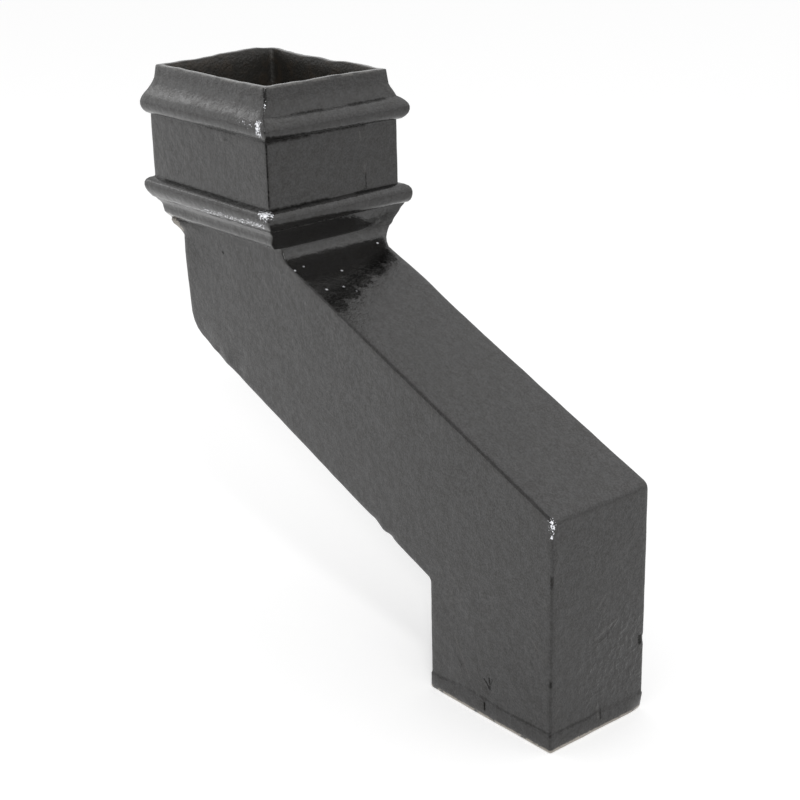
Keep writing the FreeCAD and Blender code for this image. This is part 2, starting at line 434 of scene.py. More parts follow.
def mouldingRings():
    c = casting
    rings = []
    for number, (stand, z) in enumerate(profiles["right"]):
        cuts = c["faceCuts"] if number == c["plainFaceFoot"] + 1 else 0
        rings.append(socketRing(metres(stand), metres(z), cuts))
    lip, rim = c["lip"]
    ease = c["lipEase"]
    middle = ease * c["easeMiddle"]
    rings.append(socketRing(lip, rim - ease, c["lipCuts"]))
    rings.append(socketRing(lip - middle, rim - middle))
    rings.append(socketRing(lip - ease, rim))
    return rings


def insideRings():
    c = casting
    rim = c["lip"][1]
    ease = c["lipEase"]
    middle = ease * c["easeMiddle"]
    small = c["insideEase"]
    cavity = c["socketClearance"] - c["socketStand"]
    rings = [socketRing(cavity + ease, rim), socketRing(cavity + middle, rim - middle),
             socketRing(cavity, rim - ease)]
    seat = rim - c["socketDepth"]
    rings.append(socketRing(cavity, seat + small, round(c["socketDepth"] / c["coreCell"])))
    rings.append(socketRing(cavity - small, seat))
    bore = -c["socketStand"] - c["wall"]
    rings.append(socketRing(bore + small, seat, 1))
    rings.append(socketRing(bore, seat - small))
    bends = (c["coreBendRadius"], c["coreBendRadius"])
    top = seat - c["boreTopGap"]
    rings += turnedOver(ductRings(c["wall"], 0.0, top, bends, c["coreBendRadius"], c["coreCell"]))
    rings.append(spigotRing(-c["wall"], small, round(c["heelHeight"] / c["coreCell"])))
    rings.append(spigotRing(small - c["wall"], 0.0))
    return rings


def turnedOver(rings):  # the same rings in the other order, each keeping the cuts of the stretch before it
    cuts = [ring[3] for ring in rings]
    order = rings[::-1]
    shifted = [0] + cuts[:0:-1]
    return [(left, right, halfY, count) for (left, right, halfY, _), count in zip(order, shifted)]


def selectEdges(mesh, wanted):  # in edit mode, select just the edges that pass the test
    shape = bmesh.from_edit_mesh(mesh)
    for vert in shape.verts:
        vert.select = False
    for edge in shape.edges:
        edge.select = False
    for edge in shape.edges:
        if wanted(edge):
            edge.select = True
    shape.select_flush_mode()
    bmesh.update_edit_mesh(mesh)


def startRing(piece, ring):
    c = casting
    left, right, halfY, _ = ring
    bpy.ops.transform.resize(value=(right.x - left.x, 2 * halfY, 1))
    bpy.ops.mesh.bevel(offset=c["edgeRadius"], segments=c["edgeSteps"], affect="VERTICES")
    bpy.ops.mesh.delete(type="ONLY_FACE")
    bpy.ops.mesh.select_mode(type="EDGE")
    for axis, length in ((0, right.x - left.x), (1, 2 * halfY)):
        straight = length - 2 * c["edgeRadius"]

        def runsAlong(edge):
            return abs(edge.verts[0].co[axis] - edge.verts[1].co[axis]) > straight / 2
        selectEdges(piece.data, runsAlong)
        bpy.ops.mesh.subdivide(number_cuts=round(straight / c["cell"]) - 1)
    bpy.ops.mesh.select_all(action="SELECT")


def nextRing(previous, ring):  # pull the selected ring on to its next place, tilt and size
    oldSpan = previous[1] - previous[0]
    span = ring[1] - ring[0]
    centre = (ring[0] + ring[1]) / 2
    move = centre - (previous[0] + previous[1]) / 2
    bpy.ops.mesh.extrude_region_move(TRANSFORM_OT_translate={"value": (move.x, 0, move.y)})
    pivot = (centre.x, 0, centre.y)
    turn = math.atan2(span.y, span.x) - math.atan2(oldSpan.y, oldSpan.x)
    if abs(turn) > casting["leastTurn"]:
        bpy.ops.transform.rotate(value=turn, orient_axis="Y", center_override=pivot)
    stretch = span.length / oldSpan.length
    widen = ring[2] / previous[2]
    bpy.ops.transform.resize(value=(stretch, widen, stretch), center_override=pivot)


def cutStrips(mesh, rings, ringSize):  # divide the strips between rings into cells
    total = len(rings) * ringSize
    for count in sorted({ring[3] for ring in rings} - {0}):
        wanted = {number for number, ring in enumerate(rings) if ring[3] == count}

        def crosses(edge):
            low, high = sorted((edge.verts[0].index, edge.verts[1].index))
            return high < total and low // ringSize != high // ringSize and high // ringSize in wanted
        selectEdges(mesh, crosses)
        bpy.ops.mesh.subdivide(number_cuts=count)


def trueCorner(value, half, oldRadius, radius):  # slide a point so its ring's corners get the wanted radius
    size = abs(value)
    if size > half - oldRadius:
        size = half - radius + (size - half + oldRadius) * radius / oldRadius
    else:
        size *= (half - radius) / (half - oldRadius)
    return math.copysign(size, value)


def shapeRings(mesh, rings, ringSize):  # true corner radii, then each side of the socket to its own profile
    c = casting
    shape = bmesh.from_edit_mesh(mesh)
    shape.verts.ensure_lookup_table()
    startX = rings[0][1].x
    startY = rings[0][2]
    outerCount = len(rings) - len(insideRings())
    firstStation = outerCount - len(mouldingRings())
    firstNeck = firstStation - len(neckRings(0.0)) - 1
    for number, (left, right, halfY, _) in enumerate(rings):
        centre = (left + right) / 2
        along = (right - left).normalized()
        halfX = (right - left).length / 2
        station = number - firstStation
        if number >= outerCount:
            radius = c["edgeRadius"]
        elif station < 0:
            radius = c["pipeRadius"]
        else:
            radius = c["socketRadius"]
        slant = halfX * 2 / (right.x - left.x)
        neck = number - firstNeck
        for index in range(number * ringSize, (number + 1) * ringSize):
            vert = shape.verts[index]
            flat = Vector((vert.co.x, vert.co.z)) - centre
            u = trueCorner(flat.dot(along), halfX, c["edgeRadius"] * halfX / startX, radius * slant)
            v = trueCorner(vert.co.y, halfY, c["edgeRadius"] * halfY / startY, radius)
            lift = 0.0
            if 0 <= station < len(profiles["right"]):
                u, v, lift = profilePlace(u / halfX, v / halfY, station)
            elif 0 <= neck < len(neckStands["back"]):
                u -= metres(neckStands["left"][neck]) * max(0.0, -u / halfX)
                v += metres(neckStands["back"][neck]) * max(0.0, v / halfY)
                flare = max(0.0, -u / halfX) ** c["flarePower"]
                v -= metres(neckStands["front"][neck]) * max(0.0, -v / halfY) * flare
            place = centre + along * u
            vert.co = (place.x, v, place.y + lift)
    bmesh.update_edit_mesh(mesh)


def profilePlace(p, q, station):  # across and lift of a point, p and q being its shares of the half sizes
    c = casting
    sideX = profiles["right" if p > 0 else "left"][station]
    sideY = profiles["back" if q > 0 else "front"][station]
    u = p * (c["pipeWidth"] / 2 + c["socketStand"] + metres(sideX[0]))
    v = q * (c["pipeDepth"] / 2 + c["socketStand"] + metres(sideY[0]))
    if station == 0 and q < 0:
        v -= metres(neckStands["front"][-1]) * -q * max(0.0, -p) ** c["flarePower"]
    weightX = abs(p) ** c["cornerPower"]
    weightY = abs(q) ** c["cornerPower"]
    z = (weightX * sideX[1] + weightY * sideY[1]) / (weightX + weightY)
    return u, v, metres(z - profiles["right"][station][1])


def buildCasting():
    rings = outsideRings()
    bpy.ops.object.select_all(action="DESELECT")
    bpy.ops.mesh.primitive_plane_add(size=1)
    piece = bpy.context.object
    piece.name = "paintedCasting"
    bpy.ops.object.mode_set(mode="EDIT")
    startRing(piece, rings[0])
    ringSize = len(bmesh.from_edit_mesh(piece.data).verts)
    for previous, ring in zip(rings, rings[1:]):
        nextRing(previous, ring)
    shapeRings(piece.data, rings, ringSize)
    insideStart = (len(rings) - len(insideRings())) * ringSize
    for face in bmesh.from_edit_mesh(piece.data).faces:
        face.material_index = int(min(vert.index for vert in face.verts) >= insideStart)
    selectEdges(piece.data, lambda edge: edge.is_boundary)
    bpy.ops.mesh.bridge_edge_loops()
    cutStrips(piece.data, rings, ringSize)
    bpy.ops.mesh.select_all(action="SELECT")
    bpy.ops.mesh.normals_make_consistent(inside=False)
    bpy.ops.object.mode_set(mode="OBJECT")
    return piece


rimLifts = (  # x, y, lift and reach of each rise or dip in the rim
    (-0.293, 0.012, 0.0012, 0.014),
    (-0.293, 0.029, 0.0013, 0.006),
    (-0.262, 0.044, -0.0014, 0.012),
    (-0.230, 0.044, -0.0014, 0.010),
    (-0.188, 0.044, -0.0011, 0.010),
    (-0.178, 0.004, 0.0007, 0.006),
    (-0.230, -0.044, -0.0004, 0.020),
)


def liftRim(piece):
    c = casting
    foot = c["lip"][1] - c["rimFade"]
    for vert in piece.data.vertices:
        share = min(1.0, max(0.0, (vert.co.z - foot) / c["rimFade"]))
        if share > 0:
            lift = sum(noise.noise(vert.co * count) * height for count, height in c["rimWander"])
            for x, y, height, reach in rimLifts:
                away = (vert.co.x - x) ** 2 + (vert.co.y - y) ** 2
                lift += height * math.exp(-away / (2 * reach * reach))
            vert.co.z += lift * share


castSkin = (  # wander of the cast surface: size of the swells and how far they move it, both in metres
    ("swells", 0.060, 0.0009),
    ("ripples", 0.011, 0.0003),
)


def roughenSkin(piece):
    for name, size, strength in castSkin:
        texture = bpy.data.textures.new(name, "CLOUDS")
        texture.noise_scale = size
        texture.noise_depth = casting["skinDetail"]
        modifier = piece.modifiers.new(name, "DISPLACE")
        modifier.texture = texture
        modifier.texture_coords = "LOCAL"
        modifier.strength = strength
        modifier.mid_level = casting["skinMiddle"]
        bpy.ops.object.modifier_apply(modifier=name)


lumps = (  # place, reach and height of each lump or pit
    ((-0.1400, 0.0372, 0.2195), 0.0260, 0.0011),     # the run swells where it leaves the neck
    ((-0.2860, -0.0372, 0.2200), 0.0200, 0.0010),
    ((-0.1002, -0.0375, 0.0915), 0.0030, -0.0006),   # steps of the mould's parting, on the run's lower edge
    ((-0.0910, -0.0375, 0.0884), 0.0036, 0.0007),
    ((-0.0852, -0.0375, 0.0858), 0.0030, -0.0008),
    ((-0.2700, -0.0375, 0.1645), 0.0080, -0.0010),
    ((-0.2560, -0.0375, 0.1600), 0.0030, -0.0008),
    ((-0.2450, -0.0375, 0.1565), 0.0040, 0.0010),
    ((-0.2320, -0.0375, 0.1510), 0.0030, -0.0008),
    ((-0.1740, 0.0203, 0.3038), 0.0018, 0.0005),
    ((-0.1740, 0.0235, 0.2790), 0.0022, 0.0004),
    ((-0.1740, 0.0232, 0.2728), 0.0018, 0.0007),
    ((-0.2186, -0.0495, 0.3067), 0.0014, 0.0006),
    ((-0.2140, -0.0495, 0.3050), 0.0014, 0.0006),
    ((-0.0002, -0.0375, 0.0192), 0.0016, -0.0010),
    ((0.0500, 0.0360, 0.0456), 0.0022, -0.0008),
    ((0.0505, 0.0378, 0.0010), 0.0060, -0.0014),
)


def addLumps(piece):
    for place, reach, height in lumps:
        centre = Vector(place)
        end = reach * casting["lumpEnd"]
        near = [vert for vert in piece.data.vertices if (vert.co - centre).length < end]
        normals = [vert.normal.copy() for vert in near]
        for vert, normal in zip(near, normals):
            away = (vert.co - centre).length
            vert.co += normal * (height * math.exp(-(away / reach) ** 2))


piece = buildCasting()
bpy.ops.object.select_all(action="DESELECT")
piece.select_set(True)
bpy.context.view_layer.objects.active = piece
roughenSkin(piece)
liftRim(piece)
addLumps(piece)
print("casting", len(piece.data.vertices), "points", len(piece.data.polygons), "faces")
bpy.ops.object.shade_smooth_by_angle(angle=casting["smoothAngle"])
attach(piece, "root")
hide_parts("offset_casting")


# the paint: gloss black over rough iron, with brush marks, scratches and worn arrises, and painted glints,
# painted shade and a painted dark reflection

paint = {
    "colour": (0.0150, 0.0143, 0.0140, 1.0),
    "dullColour": (0.0190, 0.0178, 0.0165, 1.0),   # thin or dusty patches
    # light scratches, and a painted highlight along the lower bead's under edge on the socket's right face
    "scratchAndHighlightColour": (0.085, 0.082, 0.078, 1.0),
    "darkMarkAndShadeColour": (0.006, 0.0055, 0.005, 1.0),     # dark marks, painted shade in creases, grooves and down the front corners, and the painted dark reflection on the run's top: none mirror anything
    # bright chips, and painted glints along the beads and at the corners
    "chipAndGlintColour": (0.85, 0.86, 0.90, 1.0),
    "bareColour": (0.33, 0.30, 0.26, 1.0),         # where the foot's edge has lost its paint
    "rimColour": (0.34, 0.33, 0.31, 1.0),
    "thinColour": (0.24, 0.22, 0.19, 1.0),         # where the paint is rubbed thin
    "thinHeight": (0.05, 0.10),                    # between these, worn spots turn from bare to thin
    "footHeight": (0.0028, 0.0014),                # the paint is gone below these
    "rimHeight": (0.3392, 0.3401),                 # and rubbed above these
    "rimShare": 0.20,
    "roughness": 0.20,
    "roughnessRange": 0.10,
    "scratchAndHighlightRoughness": 0.25,
    "specular": 0.66,
    "mottle": (0.30, 0.15),                        # how far the fine and the coarse blotches take the shine
    "darkMarkAndShadeShine": 0.70,                             # and how far a dark mark, painted shade and the painted reflection do
    "grainSize": 0.0011,
    "grainHeight": 0.00010,
    "peelSize": 0.0045,
    "peelHeight": 0.00030,
    "brushScale": (600.0, 600.0, 160.0),
    "brushHeight": 0.00003,
    "swirlTurn": math.radians(-40),                # ripples low on the spigot's end face
    "swirlSize": (0.022, 0.0036, 0.0150),
    "swirlDetail": 1.0,
    "swirlBend": 0.8,
    "swirlPlace": (0.05, 0.016, 0.042),
    "swirlReach": (0.042, 0.018),
    "swirlHeight": 0.00019,
    "wobble": 0.0009,                              # how far marks stray from straight
    "wobbleScale": 300.0,
    "strokeEdge": (1.5, 0.1),                      # where a mark fades in, over its half width
    "speckEdge": (1.2, 0.5),                       # and a speck, over its radius
    "ragged": 2.4,                                 # how far the fine grain tears glints and worn spots
    "torn": 0.9,                                   # and the coarse one the painted dark reflection on the run's top
    "glintShare": 0.55,
    "wornShares": (0.7, 0.5),                      # of the stroke and of the grain, in a worn spot
    "darkShares": (0.4, 0.6),                      # how much of a dark mark is even, and how much broken up
    # how dark the painted reflection on the run's top gets
    "darkReflectionStrength": 0.80,
}
breaks = {  # the values between which each of these comes in
    "dull": (0.35, 0.75),
    "scratchAndHighlight": (0.38, 0.60),
    "dark": (0.30, 0.46),
    # the torn edge of the painted dark reflection on the run's top
    "patch": (0.42, 0.58),
    "glint": (0.57, 0.82),
    "glintNear": (0.02, 0.12),
    "worn": (0.42, 0.66),
    "foot": (0.34, 0.48),
    "rim": (0.40, 0.58),
    "swirl": (0.40, 0.60),
    "mottle": (0.35, 0.65),
    "rust": (0.45, 0.65),
}
lining = {
    "colour": (0.0195, 0.0180, 0.0155, 1.0),
    "rustColour": (0.0300, 0.0240, 0.0180, 1.0),
    "roughness": 0.45,
    "grainSize": 0.0016,
    "peelSize": 0.007,
    "height": 0.0004,
}
everyWay = (1.0, 1.0, 1.0)     # for marks on an edge, where every axis counts
grainDetail = 3.0
noiseMiddle = 0.5              # every noise runs from 0 to 1

# strokes in the paint: start, end, half width and strength
# flatten says how much each axis counts, so that a mark still meets a face that isn't quite flat
marks = {
    "front": {
        "flatten": (1.0, 0.15, 1.0),
        # painted highlights, speckled along the upper and lower beads' crests
        "glints": (
            ((-0.2887, -0.0541, 0.3248), (-0.1868, -0.0541, 0.3229), 0.0019, 0.22),
            ((-0.1961, -0.0541, 0.3207), (-0.1742, -0.0541, 0.3197), 0.0030, 0.62),
            ((-0.2354, -0.0540, 0.2585), (-0.1756, -0.0540, 0.2603), 0.0036, 0.95),
            ((-0.2725, -0.0540, 0.2569), (-0.2300, -0.0540, 0.2582), 0.0022, 0.70),
        ),
        "light": (
            ((-0.0285, -0.0373, 0.0430), (-0.0160, -0.0373, 0.0208), 0.0007, 0.48),
            ((0.0334, -0.0373, 0.0661), (0.0412, -0.0373, 0.0591), 0.0006, 0.56),
            ((0.0357, -0.0373, 0.0780), (0.0399, -0.0373, 0.0760), 0.0006, 0.37),
            ((-0.0147, -0.0373, 0.0959), (-0.0115, -0.0373, 0.0815), 0.0006, 0.29),
            ((-0.2157, -0.0493, 0.3001), (-0.2055, -0.0493, 0.2899), 0.0006, 0.32),
            ((-0.2197, -0.0493, 0.3047), (-0.2190, -0.0493, 0.3052), 0.0010, 0.75),
        ),
        # pits and small marks, and painted shade: the spigot band's groove, the crease over the lower bead
        # and the one under the upper bead
        "dark": (
            ((-0.0033, -0.0373, 0.0249), (0.0005, -0.0373, 0.0210), 0.0007, 1.10),
            ((0.0005, -0.0373, 0.0269), (0.0017, -0.0373, 0.0216), 0.0006, 1.00),
            ((0.0030, -0.0373, 0.0270), (0.0015, -0.0373, 0.0215), 0.0006, 0.90),
            ((0.0008, -0.0373, 0.0207), (0.0012, -0.0373, 0.0203), 0.0013, 2.30),
            ((-0.0028, -0.0373, 0.0095), (-0.0028, -0.0373, 0.0055), 0.0008, 1.20),
            ((-0.0261, -0.0373, 0.0303), (-0.0223, -0.0373, 0.0260), 0.0007, 0.36),
            ((-0.0477, -0.0373, 0.0093), (-0.0199, -0.0373, 0.0128), 0.0010, 0.32),
            ((-0.0199, -0.0373, 0.0128), (0.0116, -0.0373, 0.0113), 0.0010, 0.36),
            ((0.0116, -0.0373, 0.0113), (0.0487, -0.0373, 0.0122), 0.0010, 0.41),
            ((-0.2434, -0.0373, 0.2279), (-0.2432, -0.0373, 0.2277), 0.0010, 1.80),
            ((-0.1969, -0.0493, 0.2889), (-0.1888, -0.0493, 0.2812), 0.0006, 0.36),
            ((-0.2159, -0.0493, 0.3053), (-0.2127, -0.0493, 0.3063), 0.0008, 0.45),
            ((-0.2706, -0.0493, 0.2750), (-0.2692, -0.0493, 0.2772), 0.0010, 0.54),
            ((-0.2850, -0.0493, 0.2693), (-0.1745, -0.0493, 0.2690), 0.0009, 0.81),
            ((-0.2350, -0.0493, 0.3104), (-0.2050, -0.0493, 0.3101), 0.0006, 0.54),
        ),
    },
    "side": {
        "flatten": (0.15, 1.0, 1.0),
        "light": (
            ((0.0498, 0.0047, 0.0844), (0.0498, -0.0015, 0.0780), 0.0008, 0.56),
            ((0.0498, 0.0072, 0.0798), (0.0498, 0.0011, 0.0709), 0.0006, 0.32),
            ((0.0498, 0.0133, 0.0653), (0.0498, -0.0025, 0.0586), 0.0009, 0.51),
            ((0.0498, -0.0346, 0.0209), (0.0498, -0.0301, 0.0266), 0.0007, 0.37),
            ((0.0498, 0.0002, 0.0157), (0.0498, 0.0005, 0.0079), 0.0009, 0.66),
            ((-0.1740, 0.0199, 0.3060), (-0.1740, 0.0204, 0.3020), 0.0008, 0.48),
            ((-0.1740, 0.0233, 0.2850), (-0.1740, 0.0234, 0.2790), 0.0007, 0.48),
            # a painted highlight along the lower bead's under edge
            ((-0.1740, -0.0470, 0.2565), (-0.1740, 0.0030, 0.2562), 0.0007, 0.59),
        ),
        # small marks and a pit, and painted shade: the spigot band's groove, the crease over the lower bead
        # and the creases round the upper one
        "dark": (
            ((0.0498, 0.0118, 0.0614), (0.0498, 0.0007, 0.0561), 0.0009, 0.36),
            ((0.0498, -0.0350, 0.0120), (0.0498, -0.0061, 0.0110), 0.0010, 0.36),
            ((0.0498, -0.0061, 0.0110), (0.0498, 0.0020, 0.0124), 0.0010, 0.41),
            ((0.0498, 0.0024, 0.0149), (0.0498, 0.0025, 0.0070), 0.0008, 0.63),
            ((0.0498, 0.0335, 0.0475), (0.0498, 0.0338, 0.0440), 0.0016, 1.40),
            ((-0.1740, 0.0236, 0.2800), (-0.1740, 0.0238, 0.2700), 0.0007, 0.54),
            ((-0.1740, -0.0480, 0.3100), (-0.1740, -0.0180, 0.3100), 0.0019, 0.90),
            ((-0.1740, -0.0200, 0.3102), (-0.1740, 0.0250, 0.3097), 0.0011, 0.81),
            ((-0.1740, -0.0480, 0.2693), (-0.1740, -0.0060, 0.2693), 0.0009, 0.81),
            ((-0.1740, 0.0150, 0.2690), (-0.1740, 0.0460, 0.2688), 0.0009, 0.72),
            ((-0.1740, -0.0300, 0.3236), (-0.1740, -0.0080, 0.3233), 0.0007, 0.72),
            ((-0.1740, 0.0120, 0.3233), (-0.1740, 0.0400, 0.3232), 0.0008, 0.72),
        ),
    },
    "edges": {
        "flatten": everyWay,
        "worn": (
            ((-0.2895, -0.0465, 0.2442), (-0.2862, -0.0400, 0.2360), 0.0044, 1.10),
            ((-0.2923, -0.0525, 0.2564), (-0.2828, -0.0515, 0.2521), 0.0016, 0.80),
            ((0.0499, -0.0340, 0.0009), (0.0499, -0.0060, 0.0010), 0.0024, 1.00),
            ((0.0496, -0.0340, 0.0004), (0.0496, 0.0370, 0.0004), 0.0016, 1.00),
            ((0.0300, -0.0374, 0.0004), (0.0496, -0.0374, 0.0004), 0.0016, 0.90),
        ),
        # painted highlights at the beads' and the rim's front corners and at the heel
        "glints": (
            ((-0.1761, -0.0541, 0.3212), (-0.1744, -0.0535, 0.3161), 0.0040, 1.35),
            ((-0.1761, -0.0545, 0.2694), (-0.1713, -0.0530, 0.2682), 0.0050, 1.60),
            ((-0.1810, -0.0530, 0.2609), (-0.1743, -0.0520, 0.2608), 0.0036, 1.20),
            ((-0.1765, -0.0470, 0.3375), (-0.1762, -0.0473, 0.3305), 0.0018, 1.00),
            ((0.0490, -0.0372, 0.1412), (0.0494, -0.0374, 0.1368), 0.0030, 1.40),
            ((0.0495, -0.0373, 0.1345), (0.0496, -0.0374, 0.1315), 0.0022, 1.20),
        ),
        "light": (
            ((-0.1327, -0.0314, 0.2168), (-0.1258, -0.0280, 0.2139), 0.0008, 0.32),
            ((-0.1258, -0.0280, 0.2139), (-0.1198, -0.0270, 0.2114), 0.0008, 0.32),
        ),
        # painted shade in the hollow on the neck's right side towards the back and down the socket's front
        # corner, and short dark marks on the spigot's front edge
        "dark": (
            ((-0.1775, 0.0321, 0.2470), (-0.1775, 0.0500, 0.2488), 0.0060, 0.80),
            ((-0.1740, -0.0493, 0.2720), (-0.1740, -0.0493, 0.3080), 0.0011, 0.72),
            ((-0.1765, -0.0470, 0.3240), (-0.1780, -0.0455, 0.3400), 0.0011, 0.72),
            ((0.0494, -0.0370, 0.1080), (0.0494, -0.0370, 0.1020), 0.0012, 0.54),
            ((0.0494, -0.0370, 0.0440), (0.0494, -0.0370, 0.0425), 0.0013, 0.81),
            ((0.0496, -0.0372, 0.0125), (0.0496, -0.0372, 0.0112), 0.0014, 0.81),
        ),
    },
}
darkReflectionStrokes = (  # the same for the torn far edge of the dark patch on the run's top, a painted reflection of the neck
    ((-0.1600, -0.0340, 0.2280), (-0.1330, -0.0320, 0.2168), 0.0075, 1.0),
    ((-0.1600, -0.0220, 0.2280), (-0.1430, -0.0185, 0.2209), 0.0105, 1.0),
    ((-0.1630, -0.0080, 0.2292), (-0.1500, -0.0045, 0.2238), 0.0110, 1.0),
    ((-0.1650, 0.0090, 0.2300), (-0.1560, 0.0120, 0.2263), 0.0110, 1.0),
    ((-0.1665, 0.0240, 0.2307), (-0.1625, 0.0265, 0.2290), 0.0105, 1.0),
)
darkReflectionEnds = {
    "way": (1.0, 0.35, 0.0),
    "near": (-0.160, -0.151),     # the painted reflection comes in between these, measured that way
    "arris": (-0.0368, -0.0360),  # and stops at the run's front edge
}
specks = (  # bright chips, and a painted glint at the rim's front corner: place, radius and strength
    ((-0.1686, -0.0366, 0.2320), 0.0009, 0.7), ((-0.1701, -0.0288, 0.2325), 0.0009, 0.6),
    ((-0.1593, -0.0084, 0.2281), 0.0010, 0.6), ((-0.1475, -0.0293, 0.2232), 0.0010, 0.9),
    ((-0.1464, -0.0174, 0.2228), 0.0010, 0.9), ((-0.1407, -0.0121, 0.2204), 0.0009, 0.7),
    ((-0.1740, 0.0320, 0.2345), 0.0009, 1.0), ((-0.1765, -0.0470, 0.3372), 0.0008, 0.9),
)


def newGroup(name, inputs, outputs):
    group = bpy.data.node_groups.new(name, "ShaderNodeTree")
    for socket, kind in inputs.items():
        group.interface.new_socket(socket, in_out="INPUT", socket_type=kind)
    for socket in outputs:
        group.interface.new_socket(socket, in_out="OUTPUT", socket_type="NodeSocketFloat")
    return group, addNode(group, "NodeGroupInput").outputs


def noiseNode(tree, place, scale, detail=2.0, bend=0.0):
    return addNode(tree, "ShaderNodeTexNoise", {
        "Vector": place, "Scale": scale, "Detail": detail, "Distortion": bend}).outputs


def paintGrainGroup():  # the finer and coarser unevenness of the surface
    sizes = {"Grain Size": "NodeSocketFloat", "Peel Size": "NodeSocketFloat"}
    group, given = newGroup("surfaceGrain", sizes, ("Grain", "Peel"))
    place = addNode(group, "ShaderNodeTexCoord").outputs["Object"]
    grain = noiseNode(group, place, calculate(group, "DIVIDE", 1.0, given["Grain Size"]), grainDetail)
    peel = noiseNode(group, place, calculate(group, "DIVIDE", 1.0, given["Peel Size"]), grainDetail)
    addNode(group, "NodeGroupOutput", {"Grain": grain["Fac"], "Peel": peel["Fac"]})
    return group


def grainIn(tree, group, finish):
    sizes = {"Grain Size": finish["grainSize"], "Peel Size": finish["peelSize"]}
    return addNode(tree, "ShaderNodeGroup", sizes, node_tree=group).outputs


def bumpNormal(tree, height):
    bump = addNode(tree, "ShaderNodeBump", {"Height": height, "Distance": 1.0, "Strength": 1.0})
    return bump.outputs["Normal"]


def strokeGroup():  # 1 within a stroke's width of its line, falling to 0 beside it
    group, given = newGroup("strokeMask", {
        "Place": "NodeSocketVector", "Start": "NodeSocketVector", "End": "NodeSocketVector",
        "Width": "NodeSocketFloat"}, ("Mask",))
    along = vectorMath(group, "SUBTRACT", given["End"], given["Start"])
    toPlace = vectorMath(group, "SUBTRACT", given["Place"], given["Start"])
    share = calculate(group, "DIVIDE", vectorMath(group, "DOT_PRODUCT", toPlace, along),
                      vectorMath(group, "DOT_PRODUCT", along, along))
    share = addNode(group, "ShaderNodeClamp", {"Value": share}).outputs[0]
    step = scaledVector(group, along, share)
    gap = vectorMath(group, "LENGTH", vectorMath(group, "SUBTRACT", toPlace, step))
    mask = fade(group, calculate(group, "DIVIDE", gap, given["Width"]), *paint["strokeEdge"])
    addNode(group, "NodeGroupOutput", {"Mask": mask})
    return group


def strokeMask(tree, group, place, strokes, flatten):
    total = 0.0
    for start, end, width, strength in strokes:
        node = addNode(tree, "ShaderNodeGroup", {
            "Place": place, "Width": width,
            "Start": [value * keep for value, keep in zip(start, flatten)],
            "End": [value * keep for value, keep in zip(end, flatten)]}, node_tree=group)
        total = larger(tree, total, times(tree, node.outputs["Mask"], strength))
    return total


def aroundZero(tree, value, spread):  # a noise centred on 0, and spread
    return times(tree, calculate(tree, "SUBTRACT", value, noiseMiddle), spread)


def strayedPlace(tree, place):  # the place with a small wobble, which keeps marks off straight
    wander = noiseNode(tree, place, paint["wobbleScale"])["Color"]
    wander = vectorMath(tree, "SUBTRACT", wander, (noiseMiddle, noiseMiddle, noiseMiddle))
    return vectorMath(tree, "ADD", place, scaledVector(tree, wander, paint["wobble"]))


def darkReflectionMask(tree, strokes, place, strayed, grain):  # the far edge of the painted dark reflection on the run's top, torn by the coarse grain
    stroke = strokeMask(tree, strokes, strayed, darkReflectionStrokes, everyWay)
    patch = fade(tree, plus(tree, stroke, aroundZero(tree, grain["Peel"], paint["torn"])), *breaks["patch"])
    near = fade(tree, vectorMath(tree, "DOT_PRODUCT", place, darkReflectionEnds["way"]), *darkReflectionEnds["near"])
    across = addNode(tree, "ShaderNodeSeparateXYZ", {"Vector": place}).outputs["Y"]
    near = times(tree, near, fade(tree, across, *darkReflectionEnds["arris"]))
    return times(tree, patch, times(tree, near, paint["darkReflectionStrength"]))


def chipAndGlintMask(tree, strayed):
    chips = 0.0
    for spot, radius, strength in specks:
        outer, inner = [radius * share for share in paint["speckEdge"]]
        near = fade(tree, vectorMath(tree, "DISTANCE", strayed, spot), outer, inner)
        chips = larger(tree, chips, times(tree, near, strength))
    return chips


def paintMasks(tree, place, grain):  # where the paint is scratched, dark, chipped, worn or gone, and where glints, shade and a dark reflection are painted
    p = paint
    strayed = strayedPlace(tree, place)
    strokes = strokeGroup()
    masks = {"light": 0.0, "dark": 0.0, "glints": 0.0, "worn": 0.0}
    for group in marks.values():
        flat = vectorMath(tree, "MULTIPLY", strayed, group["flatten"])
        for kind in masks:
            drawn = strokeMask(tree, strokes, flat, group.get(kind, ()), group["flatten"])
            masks[kind] = larger(tree, masks[kind], drawn)
    # light marks: scratches, and a painted highlight line
    masks["light"] = times(tree, masks["light"], fade(tree, grain["Grain"], *breaks["scratchAndHighlight"]))

    even, broken = p["darkShares"]
    patchy = times(tree, fade(tree, grain["Peel"], *breaks["dark"]), broken)
    dark = times(tree, masks["dark"], plus(tree, patchy, even))
    # the painted dark reflection on the run's top joins the dark marks
    masks["dark"] = larger(tree, dark, darkReflectionMask(tree, strokes, place, strayed, grain))

    ragged = aroundZero(tree, grain["Grain"], p["ragged"])
    # painted glints, speckled by the fine grain
    glints = times(tree, masks["glints"], p["glintShare"])
    speckled = fade(tree, plus(tree, glints, ragged), *breaks["glint"])
    speckled = times(tree, speckled, fade(tree, glints, *breaks["glintNear"]))
    masks["chips"] = larger(tree, chipAndGlintMask(tree, strayed), speckled)

    strokeShare, grainShare = p["wornShares"]
    worn = plus(tree, times(tree, masks["worn"], strokeShare), times(tree, ragged, grainShare))
    masks["worn"] = fade(tree, worn, *breaks["worn"])
    height = addNode(tree, "ShaderNodeSeparateXYZ", {"Vector": strayed}).outputs["Z"]
    masks["thin"] = fade(tree, height, *p["thinHeight"])
    for edge, heights in (("foot", p["footHeight"]), ("rim", p["rimHeight"])):
        here = fade(tree, height, *heights)
        masks[edge] = times(tree, here, fade(tree, grain["Peel"], *breaks[edge]))
    return masks


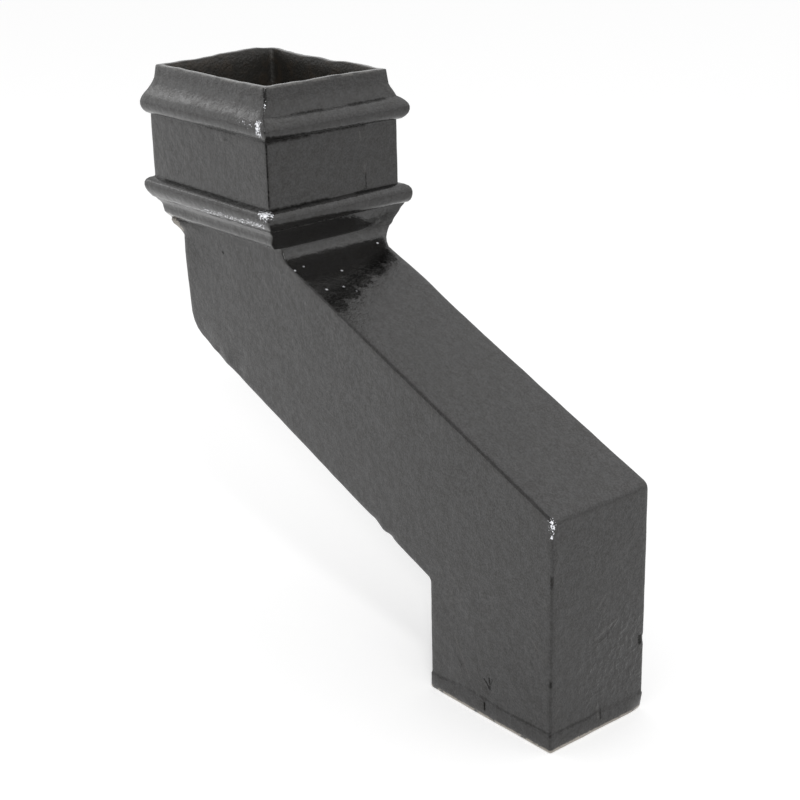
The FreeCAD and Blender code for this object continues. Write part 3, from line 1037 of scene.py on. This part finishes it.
def paintColour(tree, grain, masks):
    p = paint
    colour = blendColour(tree, fade(tree, grain["Peel"], *breaks["dull"]), p["colour"], p["dullColour"])
    wornColour = blendColour(tree, masks["thin"], p["bareColour"], p["thinColour"])
    # the dark layer carries painted shade and the painted dark reflection with the dark marks, and the chip
    # layer carries painted glints
    layers = (
        (masks["light"], p["scratchAndHighlightColour"]),
        (masks["dark"], p["darkMarkAndShadeColour"]),
        (masks["worn"], wornColour),
        (masks["foot"], p["bareColour"]),
        (times(tree, masks["rim"], p["rimShare"]), p["rimColour"]),
        (masks["chips"], p["chipAndGlintColour"]),
    )
    for share, layer in layers:
        colour = blendColour(tree, share, colour, layer)
    return colour


def paintRelief(tree, place, grain):  # grain, brush strokes, and ripples low on the spigot's end face
    p = paint
    brush = noiseNode(tree, vectorMath(tree, "MULTIPLY", place, p["brushScale"]), 1.0)["Fac"]
    turned = addNode(tree, "ShaderNodeMapping", {
        "Vector": place, "Rotation": (p["swirlTurn"], 0, 0), "Scale": p["swirlSize"]}, vector_type="TEXTURE")
    swirl = noiseNode(tree, turned.outputs["Vector"], 1.0, p["swirlDetail"], p["swirlBend"])["Fac"]
    swirlHere = fade(tree, vectorMath(tree, "DISTANCE", place, p["swirlPlace"]), *p["swirlReach"])
    swirlHere = times(tree, swirlHere, fade(tree, grain["Peel"], *breaks["swirl"]))
    surface = times(tree, grain["Grain"], p["grainHeight"])
    for part, height in ((grain["Peel"], p["peelHeight"]), (brush, p["brushHeight"]),
                         (times(tree, swirl, swirlHere), p["swirlHeight"])):
        surface = plus(tree, surface, times(tree, part, height))
    return bumpNormal(tree, surface)


def glossPaint(grainGroup):
    material, tree, shader = newMaterial("glossBlackPaint")
    p = paint
    place = addNode(tree, "ShaderNodeTexCoord").outputs["Object"]
    grain = grainIn(tree, grainGroup, p)
    masks = paintMasks(tree, place, grain)
    fine, coarse = p["mottle"]
    mottle = plus(tree, times(tree, fade(tree, grain["Grain"], *breaks["mottle"]), fine),
                  times(tree, fade(tree, grain["Peel"], *breaks["mottle"]), coarse))
    roughness = plus(tree, times(tree, grain["Peel"], p["roughnessRange"]),
                     p["roughness"] - p["roughnessRange"] / 2)
    roughness = plus(tree, roughness, times(tree, masks["light"], p["scratchAndHighlightRoughness"]))
    setInputs(tree, shader, {
        "Base Color": paintColour(tree, grain, masks), "Roughness": roughness,
        "Specular IOR Level": p["specular"],
        "Metallic": plus(tree, mottle, times(tree, masks["dark"], p["darkMarkAndShadeShine"])),
        "Normal": paintRelief(tree, place, grain)})
    return material


def dullLining(grainGroup):  # the waterway: thin paint gone dusty over rough iron
    material, tree, shader = newMaterial("dustyLining")
    grain = grainIn(tree, grainGroup, lining)
    rust = fade(tree, grain["Peel"], *breaks["rust"])
    surface = times(tree, plus(tree, grain["Grain"], grain["Peel"]), lining["height"])
    setInputs(tree, shader, {
        "Base Color": blendColour(tree, rust, lining["colour"], lining["rustColour"]),
        "Roughness": lining["roughness"], "Normal": bumpNormal(tree, surface)})
    return material


surfaceGrain = paintGrainGroup()
piece.data.materials.append(glossPaint(surfaceGrain))
piece.data.materials.append(dullLining(surfaceGrain))
print("paint mixed")
